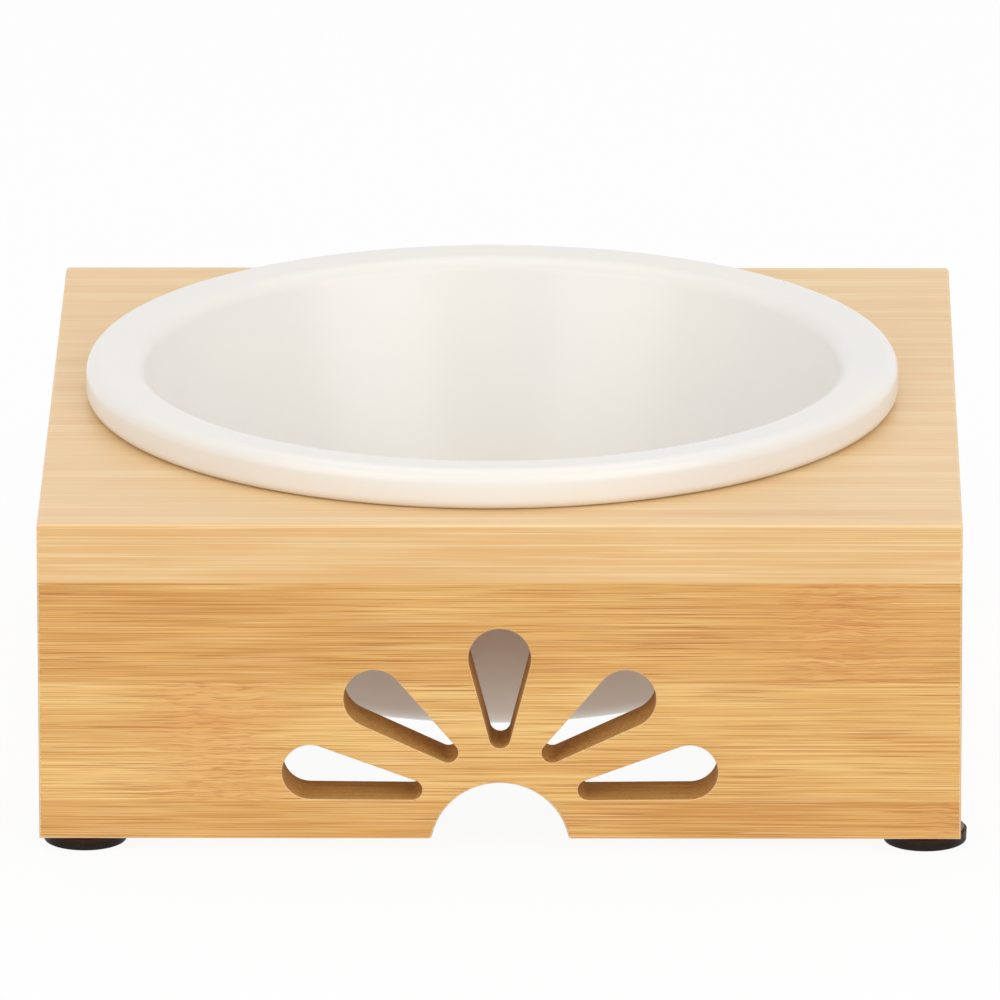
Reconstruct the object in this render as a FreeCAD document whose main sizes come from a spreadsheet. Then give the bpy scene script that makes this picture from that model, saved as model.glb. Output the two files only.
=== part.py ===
# Pet bowl with stand: a glazed ceramic bowl hangs by its lip in a bamboo box stand on four rubber feet.
# Millimetres. +X is to the right, +Y to the back and +Z up. The origin is on the floor, midway between
# the side panels and midway between the front and back panels.
import FreeCAD, Part
import math
import os
import re

import Sketcher
from FreeCAD import Placement, Rotation, Vector

# Driving dimensions. Each one is written once, in the sheet, and every feature is bound to it.
SIZES = {
    # Boards of the stand
    "stand_width": 180.0,
    "stand_depth": 180.0,
    "panel_height": 52.4,
    "panel_thickness": 12.0,
    "top_thickness": 11.8,
    "edge_radius": 0.7,
    # Half-round notch in the lower edge of the front and back panels
    "notch_radius": 13.6,
    "notch_drop": 2.2,
    "notch_corner_radius": 0.8,
    # Fan of petals: from tip centre to tip centre of the outer pair, and up to the middle petal's tip centre
    "fan_span": 74.1,
    "fan_height": 36.9,
    "petal_tip_radius": 6.1,
    "petal_root_radius": 2.0,
    "petal_edge_radius": 0.35,
    # Glued dowels: the insets are from the end of a board to the centre of the first dowel in its row
    "dowel_diameter": 6.0,
    "dowel_chamfer": 0.8,
    "dowel_glue_gap": 0.1,
    "dowel_end_gap": 0.5,
    "face_hole_depth": 7.5,
    "edge_hole_depth": 11.5,
    "front_dowel_inset": 24.0,
    "side_dowel_inset": 43.0,
    "corner_dowel_inset": 13.9,
    # Rubber feet and their adhesive discs
    "foot_diameter": 16.4,
    "foot_height": 2.4,
    "foot_taper": 0.1,
    "foot_edge_radius": 0.4,
    "foot_setback": 1.2,
    "left_foot_inset": 0.5,
    "right_foot_overhang": 1.3,
    "adhesive_margin": 0.5,
    "adhesive_thickness": 0.5,
    # Bowl, measured from its foot ring up. Its lip keeps a margin from the nearest sides of the top board.
    "bowl_seat_height": 51.3,
    "lip_margin": 9.2,
    "lip_height": 8.3,
    "lip_width": 11.0,
    "lip_fall": 0.8,
    "lip_seat_width": 6.3,
    "lip_upper_radius": 3.0,
    "lip_lower_radius": 2.0,
    "lip_inner_radius": 4.0,
    "neck_radius": 1.0,
    "bowl_play": 3.0,
    "bowl_wall_lean": 13.0,
    "bowl_wall_bow": 0.9,
    "bowl_base_radius": 5.0,
    "bowl_inside_lean": 15.5,
    "bowl_floor_height": 7.0,
    "bowl_floor_radius": 12.0,
    "ring_width": 4.0,
    "ring_height": 1.5,
}

# How far the bowl sits off centre, to the left, as a share of its play in the opening.
BOWL_SHIFT_SHARE = 0.75

# Petals of the fan, from the middle outwards. Across is a share of half the fan's span, up is a share of
# the fan's height, and the round tip is a share of the middle petal's tip radius.
PETAL_SHARES = (
    {"name": "middle", "tip": (0, 1.0), "root": (0, 0.558), "tip_size": 1.0},
    {"name": "inner", "tip": (0.664, 0.778), "root": (0.274, 0.479), "tip_size": 0.96},
    {"name": "outer", "tip": (1.0, 0.372), "root": (0.464, 0.273), "tip_size": 0.90},
)

FRONT_DOWEL_COUNT = 4
SIDE_DOWEL_COUNT = 2
CORNER_DOWEL_COUNT = 2

# Sizes that follow from the driving ones, as formulas
PANEL_BOTTOM = "(foot_height + adhesive_thickness)"
PANEL_TOP = f"({PANEL_BOTTOM} + panel_height)"
BOARD_TOP = f"({PANEL_TOP} + top_thickness)"
PANEL_X = "(stand_width / 2 - panel_thickness / 2)"
PANEL_Y = "(stand_depth / 2 - panel_thickness / 2)"
SIDE_LENGTH = "(stand_depth - 2 * panel_thickness)"
LIP_RADIUS = "(min(stand_width; stand_depth) / 2 - lip_margin)"
LIP_INSIDE_RADIUS = f"({LIP_RADIUS} - lip_width)"
FLOOR_RADIUS = f"({LIP_INSIDE_RADIUS} - bowl_inside_lean)"
OPENING_RADIUS = f"({LIP_RADIUS} - lip_seat_width)"
NECK_RADIUS = f"({OPENING_RADIUS} - bowl_play)"
BASE_RADIUS = f"({NECK_RADIUS} - bowl_wall_lean)"
BOWL_SHIFT = f"(bowl_play * {BOWL_SHIFT_SHARE})"
HOLE_RADIUS = "(dowel_diameter / 2 + dowel_glue_gap)"
DOWEL_LENGTH = "(face_hole_depth + edge_hole_depth - 2 * dowel_end_gap)"

# Edges are picked out by where they lie, to within this share of the panel's thickness.
MATCH_SHARE = 0.0005

# Numbers that a sketch knows a curve's points and its own axes by
START, END, CENTRE = range(1, 4)
ACROSS_AXIS, UP_AXIS = range(-1, -3, -1)
ORIGIN = (ACROSS_AXIS, START)

doc = FreeCAD.newDocument("pet_bowl_with_stand")
sheet = doc.addObject("Spreadsheet::Sheet", "Sheet")


def fill_sheet():
    for row, (alias, value) in enumerate(SIZES.items(), start=1):
        sheet.set(f"A{row}", alias)
        sheet.set(f"B{row}", str(value))
        sheet.setAlias(f"B{row}", alias)
    doc.recompute()


def in_sheet(formula):
    """The formula with each size's name turned into a reference to its cell."""
    return re.sub(r"[a-z]\w*", lambda word: f"Sheet.{word[0]}" if word[0] in SIZES else word[0], formula)


def size(formula):
    """The number that a formula comes to."""
    return float(sheet.evalExpression(in_sheet(formula).replace("Sheet.", "")))


def bind(thing, name, formula):
    thing.setExpression(name, in_sheet(formula))


def place(body, x="0", y="0", z="0", turn=None):
    """Put a body at its place, with its position bound to the sheet."""
    if turn:
        body.Placement = Placement(Vector(), turn)
    for axis, formula in (("x", x), ("y", y), ("z", z)):
        bind(body, f"Placement.Base.{axis}", formula)


def new_body(label):
    body = doc.addObject("PartDesign::Body", label)
    body.Label = label
    return body


def origin_feature(body, role):
    return next(part for part in body.Origin.OriginFeatures if part.Role == role)


def new_sketch(body, plane, name, across=None, out=None):
    """A sketch on one of the body's own planes, moved across in the plane or out of it by a formula."""
    sketch = body.newObject("Sketcher::SketchObject", f"{body.Label}_{name}")
    sketch.AttachmentSupport = (origin_feature(body, plane), "")
    sketch.MapMode = "FlatFace"
    if across:
        bind(sketch, "AttachmentOffset.Base.x", across)
    if out:
        bind(sketch, "AttachmentOffset.Base.z", out)
    return sketch


def constrain(sketch, kind, *where, formula=None):
    if formula is None:
        return sketch.addConstraint(Sketcher.Constraint(kind, *where))
    index = sketch.addConstraint(Sketcher.Constraint(kind, *where, size(formula)))
    bind(sketch, f"Constraints[{index}]", formula)
    return index


def locate(sketch, geometry, point, across, up):
    """Hold a point of a sketch at two formulas. A leading minus sign measures towards the origin."""
    for kind, axis, formula in (("DistanceX", UP_AXIS, across), ("DistanceY", ACROSS_AXIS, up)):
        if formula == "0":
            constrain(sketch, "PointOnObject", geometry, point, axis)
        elif formula.startswith("-"):
            constrain(sketch, kind, geometry, point, *ORIGIN, formula=formula[1:])
        else:
            constrain(sketch, kind, *ORIGIN, geometry, point, formula=formula)


def point_at(across, up):
    return Vector(size(across), size(up), 0)


def draw_circle(sketch, across, up, radius):
    ring = sketch.addGeometry(Part.Circle(point_at(across, up), Vector(0, 0, 1), size(radius)))
    locate(sketch, ring, CENTRE, across, up)
    constrain(sketch, "Radius", ring, formula=radius)


def draw_outline(sketch, corners):
    """A closed outline through corners, each a pair of formulas. A third formula on a corner is how far
    the side that starts there bows out, to the right of its direction."""
    ends = [point_at(*corner[:2]) for corner in corners]
    sides = []
    for corner, start, end in zip(corners, ends, ends[1:] + ends[:1]):
        side = Part.LineSegment(start, end)
        if len(corner) == 3:
            across = (end - start).cross(Vector(0, 0, 1)).normalize()
            side = Part.Arc(start, (start + end) / 2 + across * size(corner[2]), end)
        sides.append((sketch.addGeometry(side), corner))
    for index, (side, corner) in enumerate(sides):
        following, next_corner = sides[(index + 1) % len(sides)]
        first, last = tail_and_head(sketch, side, ends[index])
        next_first, _ = tail_and_head(sketch, following, ends[(index + 1) % len(sides)])
        constrain(sketch, "Coincident", side, last, following, next_first)
        locate(sketch, side, first, *corner[:2])
        if len(corner) == 3:
            constrain(sketch, "Radius", side, formula=bow_radius(corner, next_corner))


def tail_and_head(sketch, side, start):
    """Which end of a drawn side is at its start: arcs are always stored anticlockwise."""
    starts_there = sketch.getPoint(side, START).isEqual(start, size("panel_thickness") * MATCH_SHARE)
    return (START, END) if starts_there else (END, START)


def bow_radius(corner, next_corner):
    chord = f"(({next_corner[0]}) - ({corner[0]}))^2 + (({next_corner[1]}) - ({corner[1]}))^2"
    return f"(({chord}) / 4 + ({corner[2]})^2) / (2 * ({corner[2]}))"


def draw_petal(sketch, tip, root, tip_radius, root_radius):
    """Two round ends joined by straight sides that touch both."""
    tip_centre = point_at(*tip)
    root_centre = point_at(*root)
    axis = root_centre - tip_centre
    lean = math.acos((size(tip_radius) - size(root_radius)) / axis.Length)
    heading = math.atan2(axis.y, axis.x)
    left = Vector(math.cos(heading + lean), math.sin(heading + lean), 0)
    right = Vector(math.cos(heading - lean), math.sin(heading - lean), 0)

    along = axis.normalize()
    tip_left, tip_back, tip_right = (tip_centre + way * size(tip_radius) for way in (left, -along, right))
    root_right, root_end_point, root_left = (
        root_centre + way * size(root_radius) for way in (right, along, left)
    )
    tip_end = sketch.addGeometry(Part.Arc(tip_left, tip_back, tip_right))
    right_side = sketch.addGeometry(Part.LineSegment(tip_right, root_right))
    root_end = sketch.addGeometry(Part.Arc(root_right, root_end_point, root_left))
    left_side = sketch.addGeometry(Part.LineSegment(root_left, tip_left))
    for before, after in (
        (tip_end, right_side),
        (right_side, root_end),
        (root_end, left_side),
        (left_side, tip_end),
    ):
        constrain(sketch, "Tangent", before, END, after, START)
    locate(sketch, tip_end, CENTRE, *tip)
    locate(sketch, root_end, CENTRE, *root)
    constrain(sketch, "Radius", tip_end, formula=tip_radius)
    constrain(sketch, "Radius", root_end, formula=root_radius)


def pad(body, sketch, length, symmetric=False):
    feature = body.newObject("PartDesign::Pad", f"{sketch.Label}_pad")
    feature.Profile = sketch
    bind(feature, "Length", length)
    if symmetric:
        feature.SideType = "Symmetric"
    doc.recompute()
    return feature


def pocket(body, sketch, length, reverse=False, symmetric=False):
    """Cut a sketch into the body, and see that it took material away."""
    before = body.Shape.Volume
    feature = body.newObject("PartDesign::Pocket", f"{sketch.Label}_pocket")
    feature.Profile = sketch
    bind(feature, "Length", length)
    feature.Reversed = reverse
    if symmetric:
        feature.SideType = "Symmetric"
    doc.recompute()
    if not body.Shape.Volume < before:
        raise RuntimeError(f"{feature.Label} cuts nothing")
    return feature


def revolve(body, sketch):
    feature = body.newObject("PartDesign::Revolution", f"{sketch.Label}_revolution")
    feature.Profile = sketch
    feature.ReferenceAxis = (sketch, ["V_Axis"])
    doc.recompute()
    return feature


def fillet(body, name, radius, wanted):
    """Round every edge of the body that wanted(edge) picks out."""
    base = body.Tip
    edges = [f"Edge{i}" for i, edge in enumerate(base.Shape.Edges, start=1) if wanted(edge)]
    if not edges:
        raise RuntimeError(f"{body.Label}_{name} finds no edge")
    feature = body.newObject("PartDesign::Fillet", f"{body.Label}_{name}")
    feature.Base = (base, edges)
    bind(feature, "Radius", radius)
    doc.recompute()
    return feature


def close(value, formula):
    return abs(value - size(formula)) < size("panel_thickness") * MATCH_SHARE


def lies_on(edge, axis, formula):
    """Whether the whole edge lies where one coordinate has the formula's value."""
    box = edge.BoundBox
    low = getattr(box, f"{axis}Min")
    high = getattr(box, f"{axis}Max")
    return close(low, formula) and close(high, formula)


def row_length(length, inset):
    """From the first to the last dowel of a row along a board of that length, as a formula."""
    return f"({length} - 2 * {inset})"


def dowel_spots(length, inset, count):
    """Where the dowels of a row lie, from the board's end, as formulas."""
    return [f"({inset} + {row_length(length, inset)} * {index / (count - 1)})" for index in range(count)]


def make_fan_panel(label, turn, x, y):
    """Front or back panel. In its own frame it stands on z = 0 from x = 0 on, with its inside facing +Y."""
    body = new_body(label)
    outline = new_sketch(body, "XZ_Plane", "outline")
    corners = [("0", "0"), ("stand_width", "0"), ("stand_width", "panel_height"), ("0", "panel_height")]
    draw_outline(outline, corners)
    pad(body, outline, "panel_thickness", symmetric=True)

    notch = new_sketch(body, "XZ_Plane", "notch")
    draw_circle(notch, "stand_width / 2", "-notch_drop", "notch_radius")
    pocket(body, notch, "2 * panel_thickness", symmetric=True)

    petals = new_sketch(body, "XZ_Plane", "petals")
    for petal in PETAL_SHARES:
        for side in ("+",) if petal["name"] == "middle" else ("+", "-"):
            ends = [
                (f"stand_width / 2 {side} fan_span / 2 * {across}", f"fan_height * {up}")
                for across, up in (petal["tip"], petal["root"])
            ]
            draw_petal(petals, *ends, f"petal_tip_radius * {petal['tip_size']}", "petal_root_radius")
    pocket(body, petals, "2 * panel_thickness", symmetric=True)

    spots = dowel_spots("stand_width", "front_dowel_inset", FRONT_DOWEL_COUNT)
    cut_top_edge_holes(body, spots, along_x=True)
    corner_holes = new_sketch(body, "XZ_Plane", "corner_holes", out="-panel_thickness / 2")
    for across in ("panel_thickness / 2", "stand_width - panel_thickness / 2"):
        for up in dowel_spots("panel_height", "corner_dowel_inset", CORNER_DOWEL_COUNT):
            draw_circle(corner_holes, across, up, HOLE_RADIUS)
    pocket(body, corner_holes, "face_hole_depth", reverse=True)

    round_fan_panel(body)
    place(body, x, y, PANEL_BOTTOM, turn)


def round_fan_panel(body):
    """Ease the notch's corners, then the outside edges, and the petals' rims on both faces."""

    def between_ends(box):
        return box.XMin > size("notch_radius") and box.XMax < size("stand_width - notch_radius")

    def notch_corner(edge):
        crosses = edge.BoundBox.YLength > size("panel_thickness / 2")
        return lies_on(edge, "Z", "0") and crosses and between_ends(edge.BoundBox)

    def outside_edge(edge):
        on_outside = lies_on(edge, "Y", "-panel_thickness / 2")
        in_fan = edge.BoundBox.ZMin > size("notch_corner_radius") and between_ends(edge.BoundBox)
        return on_outside and not in_fan and not lies_on(edge, "Z", "panel_height")

    def petal_rim(edge):
        on_face = lies_on(edge, "Y", "-panel_thickness / 2") or lies_on(edge, "Y", "panel_thickness / 2")
        below_top = edge.BoundBox.ZMax < size("panel_height - edge_radius")
        in_fan = edge.BoundBox.ZMin > size("notch_corner_radius") and between_ends(edge.BoundBox)
        return on_face and in_fan and below_top

    fillet(body, "notch_corners", "notch_corner_radius", notch_corner)
    fillet(body, "outside_edges", "edge_radius", outside_edge)
    fillet(body, "petal_rims", "petal_edge_radius", petal_rim)


def cut_top_edge_holes(body, spots, along_x):
    """Blind dowel holes down into a panel's top edge."""
    holes = new_sketch(body, "XY_Plane", "top_holes", out="panel_height")
    for along in spots:
        draw_circle(holes, *((along, "0") if along_x else ("0", along)), HOLE_RADIUS)
    pocket(body, holes, "edge_hole_depth")


def make_side_panel(label, turn, x, y):
    """Side panel between the front and back panels, with its outside facing -X in its own frame."""
    body = new_body(label)
    outline = new_sketch(body, "YZ_Plane", "outline")
    corners = [("0", "0"), (SIDE_LENGTH, "0"), (SIDE_LENGTH, "panel_height"), ("0", "panel_height")]
    draw_outline(outline, corners)
    pad(body, outline, "panel_thickness", symmetric=True)
    spots = dowel_spots(SIDE_LENGTH, "side_dowel_inset", SIDE_DOWEL_COUNT)
    cut_top_edge_holes(body, spots, along_x=False)
    for name, out, reverse in (("near_holes", None, False), ("far_holes", f"-{SIDE_LENGTH}", True)):
        holes = new_sketch(body, "XZ_Plane", name, out=out)
        for up in dowel_spots("panel_height", "corner_dowel_inset", CORNER_DOWEL_COUNT):
            draw_circle(holes, "0", up, HOLE_RADIUS)
        pocket(body, holes, "edge_hole_depth", reverse=reverse)
    fillet(
        body,
        "outside_edge",
        "edge_radius",
        lambda edge: lies_on(edge, "X", "-panel_thickness / 2") and lies_on(edge, "Z", "0"),
    )
    place(body, x, y, PANEL_BOTTOM, turn)


def make_top_board():
    """Top board with the bowl's opening. In its own frame it lies on z = 0 from the front left corner on."""
    body = new_body("top_board")
    outline = new_sketch(body, "XY_Plane", "outline")
    corners = [("0", "0"), ("stand_width", "0"), ("stand_width", "stand_depth"), ("0", "stand_depth")]
    draw_outline(outline, corners)
    pad(body, outline, "top_thickness")

    opening = new_sketch(body, "XY_Plane", "opening")
    draw_circle(opening, "stand_width / 2", "stand_depth / 2", OPENING_RADIUS)
    pocket(body, opening, "top_thickness", reverse=True)

    holes = new_sketch(body, "XY_Plane", "dowel_holes")
    for across in dowel_spots("stand_width", "front_dowel_inset", FRONT_DOWEL_COUNT):
        for up in ("panel_thickness / 2", "stand_depth - panel_thickness / 2"):
            draw_circle(holes, across, up, HOLE_RADIUS)
    for along in dowel_spots(SIDE_LENGTH, "side_dowel_inset", SIDE_DOWEL_COUNT):
        for across in ("panel_thickness / 2", "stand_width - panel_thickness / 2"):
            draw_circle(holes, across, f"panel_thickness + {along}", HOLE_RADIUS)
    pocket(body, holes, "face_hole_depth", reverse=True)

    def outer_edge(edge):
        box = edge.BoundBox
        on_top = lies_on(edge, "Z", "top_thickness")
        upright = close(box.ZLength, "top_thickness") and close(box.XLength + box.YLength, "0")
        in_opening = close(box.XMin, f"stand_width / 2 + {OPENING_RADIUS}")
        return on_top or (upright and not in_opening)

    fillet(body, "outer_edges", "edge_radius", outer_edge)
    place(body, "-stand_width / 2", "-stand_depth / 2", PANEL_TOP)


def make_bowl():
    """Bowl, turned about its axis. In its own frame it stands on its foot ring at z = 0."""
    body = new_body("bowl")
    profile = new_sketch(body, "XZ_Plane", "profile")
    lip_top = "(bowl_seat_height + lip_height)"
    ring_inside = f"({BASE_RADIUS} - bowl_base_radius - ring_width)"
    corners = [
        ("0", "ring_height"),
        (f"{ring_inside} - ring_height", "ring_height"),
        (ring_inside, "0"),
        (BASE_RADIUS, "0", "bowl_wall_bow"),
        (NECK_RADIUS, "bowl_seat_height"),
        (LIP_RADIUS, "bowl_seat_height"),
        (LIP_RADIUS, lip_top),
        (LIP_INSIDE_RADIUS, f"{lip_top} - lip_fall"),
        (FLOOR_RADIUS, "bowl_floor_height"),
        ("0", "bowl_floor_height"),
    ]
    draw_outline(profile, corners)
    revolve(body, profile)
    for name, radius, corner in (
        ("base", "bowl_base_radius", 3),
        ("neck", "neck_radius", 4),
        ("lip_lower", "lip_lower_radius", 5),
        ("lip_upper", "lip_upper_radius", 6),
        ("lip_inner", "lip_inner_radius", 7),
        ("floor", "bowl_floor_radius", 8),
    ):
        across, up = corners[corner][:2]
        fillet(
            body,
            name,
            radius,
            lambda edge: lies_on(edge, "Z", up) and close(edge.BoundBox.XLength, f"2 * ({across})"),
        )
    place(body, f"-{BOWL_SHIFT}", "0", f"{BOARD_TOP} - bowl_seat_height")


def make_foot(label, x, y):
    """Rubber disc foot, a little narrower at the floor, and the adhesive disc on top of it."""
    body = new_body(label)
    profile = new_sketch(body, "XZ_Plane", "profile")
    corners = [
        ("0", "0"),
        ("foot_diameter / 2 - foot_taper", "0"),
        ("foot_diameter / 2", "foot_height"),
        ("0", "foot_height"),
    ]
    draw_outline(profile, corners)
    revolve(body, profile)
    fillet(
        body,
        "rims",
        "foot_edge_radius",
        lambda edge: lies_on(edge, "Z", "0") and edge.BoundBox.XLength > size("foot_diameter / 2"),
    )
    place(body, x, y)

    disc = new_body(f"{label}_adhesive")
    ring = new_sketch(disc, "XY_Plane", "outline")
    draw_circle(ring, "0", "0", "foot_diameter / 2 - adhesive_margin")
    pad(disc, ring, "adhesive_thickness")
    place(disc, x, y, "foot_height")


def make_feet():
    left = "-stand_width / 2 + left_foot_inset + foot_diameter / 2"
    right = "stand_width / 2 + right_foot_overhang - foot_diameter / 2"
    front = "-stand_depth / 2 + foot_setback + foot_diameter / 2"
    back = "stand_depth / 2 - foot_setback - foot_diameter / 2"
    for depth_name, y in (("front", front), ("back", back)):
        for side_name, x in (("left", left), ("right", right)):
            make_foot(f"{depth_name}_{side_name}_foot", x, y)


def make_dowels(label, count, length, turn, x, y, z):
    """A row of chamfered dowels in one joint. In its own frame they stand on end, in a row along X."""
    body = new_body(label)
    profile = new_sketch(body, "XZ_Plane", "profile", across=f"-{length} / 2")
    half = f"{DOWEL_LENGTH} / 2"
    corners = [
        ("0", f"-{half}"),
        ("dowel_diameter / 2 - dowel_chamfer", f"-{half}"),
        ("dowel_diameter / 2", f"-({half} - dowel_chamfer)"),
        ("dowel_diameter / 2", f"{half} - dowel_chamfer"),
        ("dowel_diameter / 2 - dowel_chamfer", half),
        ("0", half),
    ]
    draw_outline(profile, corners)
    dowel = revolve(body, profile)
    row = body.newObject("PartDesign::LinearPattern", f"{label}_row")
    row.Originals = [dowel]
    row.Direction = (origin_feature(body, "X_Axis"), [""])
    bind(row, "Length", length)
    row.Occurrences = count
    body.Tip = row
    doc.recompute()
    place(body, x, y, z, turn)


def make_joints():
    upright = f"{PANEL_TOP} - edge_hole_depth + dowel_end_gap + {DOWEL_LENGTH} / 2"
    quarter = Rotation(Vector(0, 0, 1), 90)
    across_row = row_length("stand_width", "front_dowel_inset")
    along_row = row_length(SIDE_LENGTH, "side_dowel_inset")
    upright_row = row_length("panel_height", "corner_dowel_inset")
    make_dowels("top_front_dowels", FRONT_DOWEL_COUNT, across_row, None, "0", f"-{PANEL_Y}", upright)
    make_dowels("top_back_dowels", FRONT_DOWEL_COUNT, across_row, None, "0", PANEL_Y, upright)
    make_dowels("top_left_dowels", SIDE_DOWEL_COUNT, along_row, quarter, f"-{PANEL_X}", "0", upright)
    make_dowels("top_right_dowels", SIDE_DOWEL_COUNT, along_row, quarter, PANEL_X, "0", upright)

    # Corner dowels lie along Y, one above the other, half in the panel's face and half in the side's end.
    lying = Rotation(Vector(1, 1, 1), -120)
    middle = f"{PANEL_BOTTOM} + panel_height / 2"
    reach = f"({SIDE_LENGTH} / 2 + face_hole_depth - dowel_end_gap - {DOWEL_LENGTH} / 2)"
    for depth_name, y in (("front", f"-{reach}"), ("back", reach)):
        for side_name, x in (("left", f"-{PANEL_X}"), ("right", PANEL_X)):
            label = f"{depth_name}_{side_name}_corner_dowels"
            make_dowels(label, CORNER_DOWEL_COUNT, upright_row, lying, x, y, middle)


def make_stand():
    half_turn = Rotation(Vector(0, 0, 1), 180)
    make_top_board()
    make_fan_panel("front_panel", None, "-stand_width / 2", f"-{PANEL_Y}")
    make_fan_panel("back_panel", half_turn, "stand_width / 2", PANEL_Y)
    make_side_panel("left_side_panel", None, f"-{PANEL_X}", f"-{SIDE_LENGTH} / 2")
    make_side_panel("right_side_panel", half_turn, PANEL_X, f"{SIDE_LENGTH} / 2")


def check_and_write():
    """See that every feature was made and every piece is sound, then write one file for each piece."""
    doc.recompute()
    bodies = [thing for thing in doc.Objects if thing.TypeId == "PartDesign::Body"]
    for thing in doc.Objects:
        if {"Invalid", "Error"} & set(thing.State):
            raise RuntimeError(f"{thing.Label} failed: {thing.State}")
    for body in bodies:
        if body.Shape.isNull() or not body.Shape.isValid():
            raise RuntimeError(f"{body.Label} has no sound shape")
    os.makedirs("parts", exist_ok=True)
    for body in bodies:
        body.Shape.exportStep(f"parts/{body.Label}.step")
        print(f"{body.Label}: {len(body.Shape.Solids)} solids, {body.Shape.Volume:.0f} mm3")


fill_sheet()
make_stand()
make_bowl()
make_feet()
make_joints()
check_and_write()
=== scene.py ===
# %% [markdown]
# # A pet bowl in a bamboo stand
#
# This lesson dresses a piece of homeware: a glazed bowl that hangs by its lip in a bamboo box on four rubber
# feet. The boards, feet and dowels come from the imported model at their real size, so they need only their
# finish. The bowl is turned again here, because a glossy round form shows every facet of its mesh.
# Lengths are in metres. +X is to the right, +Y to the back and +Z up.

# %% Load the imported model
import math

import bmesh
import bpy
from mathutils import Color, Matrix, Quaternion, Vector


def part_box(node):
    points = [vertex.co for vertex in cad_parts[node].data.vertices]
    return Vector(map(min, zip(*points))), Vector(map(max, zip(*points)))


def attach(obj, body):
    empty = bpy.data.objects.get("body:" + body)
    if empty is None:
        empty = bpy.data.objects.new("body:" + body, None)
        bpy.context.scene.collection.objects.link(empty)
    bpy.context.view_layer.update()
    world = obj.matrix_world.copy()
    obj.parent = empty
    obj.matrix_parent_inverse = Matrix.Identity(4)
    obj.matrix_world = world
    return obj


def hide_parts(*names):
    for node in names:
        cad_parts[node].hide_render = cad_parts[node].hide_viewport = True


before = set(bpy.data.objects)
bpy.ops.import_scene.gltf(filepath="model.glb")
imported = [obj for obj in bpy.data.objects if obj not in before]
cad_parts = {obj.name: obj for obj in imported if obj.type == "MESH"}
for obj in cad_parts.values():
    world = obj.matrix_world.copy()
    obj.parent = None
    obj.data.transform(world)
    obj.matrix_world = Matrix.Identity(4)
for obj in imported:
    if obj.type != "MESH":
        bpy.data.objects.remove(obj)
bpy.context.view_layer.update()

MM = 0.001

# %% [markdown]
# ## Camera
#
# The stand was photographed from a few metres away with a long lens, and from a little above: its back edge
# is nearly as wide as its front edge. Such a view could be set by eye. It is written down in numbers instead,
# because a short lens close by would make the top board taper far more, so the distance and the lens only
# work together.

# %% Camera
VIEW_AZIMUTH = math.radians(0.54)
VIEW_ELEVATION = math.radians(16.93)
VIEW_DISTANCE = 3.519
VIEW_LENS = 635.0
VIEW_ROLL = math.radians(-0.1)
VIEW_AIM = Vector((-0.74 * MM, 0, 44.8 * MM))


def add_object(name, data):
    """Put a mesh, lamp or camera into the scene."""
    made = bpy.data.objects.new(name, data)
    bpy.context.scene.collection.objects.link(made)
    return made


def make_camera():
    level = math.cos(VIEW_ELEVATION)
    towards_camera = Vector(
        (math.sin(VIEW_AZIMUTH) * level, -math.cos(VIEW_AZIMUTH) * level, math.sin(VIEW_ELEVATION))
    )
    camera = add_object("camera", bpy.data.cameras.new("camera"))
    camera.data.lens = VIEW_LENS
    camera.location = VIEW_AIM + towards_camera * VIEW_DISTANCE
    camera.rotation_mode = "QUATERNION"
    level_view = (-towards_camera).to_track_quat("-Z", "Y")
    camera.rotation_quaternion = level_view @ Quaternion((0, 0, 1), VIEW_ROLL)
    return camera


bpy.context.scene.camera = make_camera()
bpy.context.scene.view_settings.view_transform = "Standard"
print("camera at", [round(side, 3) for side in bpy.context.scene.camera.location])

# %% [markdown]
# ## Building blocks for finishes
#
# Every finish below is a small network of nodes. They could be wired by hand in the shader editor. In code, a
# few short helpers keep each network readable: one adds a node and fills its sockets, and the others wrap the
# nodes that come up again and again.

# %% Add a node


def put(tree, kind, sockets=None, **settings):
    """Add a node. A socket takes a plain value, or a link if it is given another node's output."""
    made = tree.nodes.new(kind)
    for name, value in settings.items():
        setattr(made, name, value)
    for socket, value in (sockets or {}).items():
        if isinstance(value, bpy.types.NodeSocket):
            tree.links.new(value, made.inputs[socket])
        else:
            made.inputs[socket].default_value = value
    return made


def maths(tree, operation, *values):
    """One step of arithmetic on sockets and plain numbers."""
    return put(tree, "ShaderNodeMath", dict(enumerate(values)), operation=operation).outputs[0]


print("helpers for single nodes ready")

# %% Ease, blend and patches
# A Mix node has one set of sockets for each kind of data, and these are its share and its colours
MIX_SHARE, MIX_FIRST, MIX_SECOND, MIX_RESULT = 0, 6, 7, 2


def ease(tree, value, low, high, start=0.0, end=1.0):
    """Go smoothly from start to end as the value goes from low to high."""
    sockets = {"Value": value, "From Min": low, "From Max": high, "To Min": start, "To Max": end}
    return put(tree, "ShaderNodeMapRange", sockets, interpolation_type="SMOOTHSTEP").outputs[0]


def blend(tree, share, first, second, mode="MIX"):
    """Lay a share of the second colour over the first."""
    sockets = {MIX_SHARE: share, MIX_FIRST: first, MIX_SECOND: second}
    mixed = put(tree, "ShaderNodeMix", sockets, data_type="RGBA", blend_type=mode)
    return mixed.outputs[MIX_RESULT]


def patches(tree, place, scale, detail):
    """Soft noise in round patches, about that many of them to a metre."""
    return put(tree, "ShaderNodeTexNoise", {"Vector": place, "Scale": scale, "Detail": detail}).outputs[0]


print("helpers for mixing ready")

# %% Colours and empty finishes
FULL_LEVEL = 255


def tint(*levels):
    """A colour as a paint program shows it, from 0 to 255, in the linear light that shaders work in."""
    written = Color([level / FULL_LEVEL for level in levels])
    return (*written.from_srgb_to_scene_linear(), 1.0)


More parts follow.
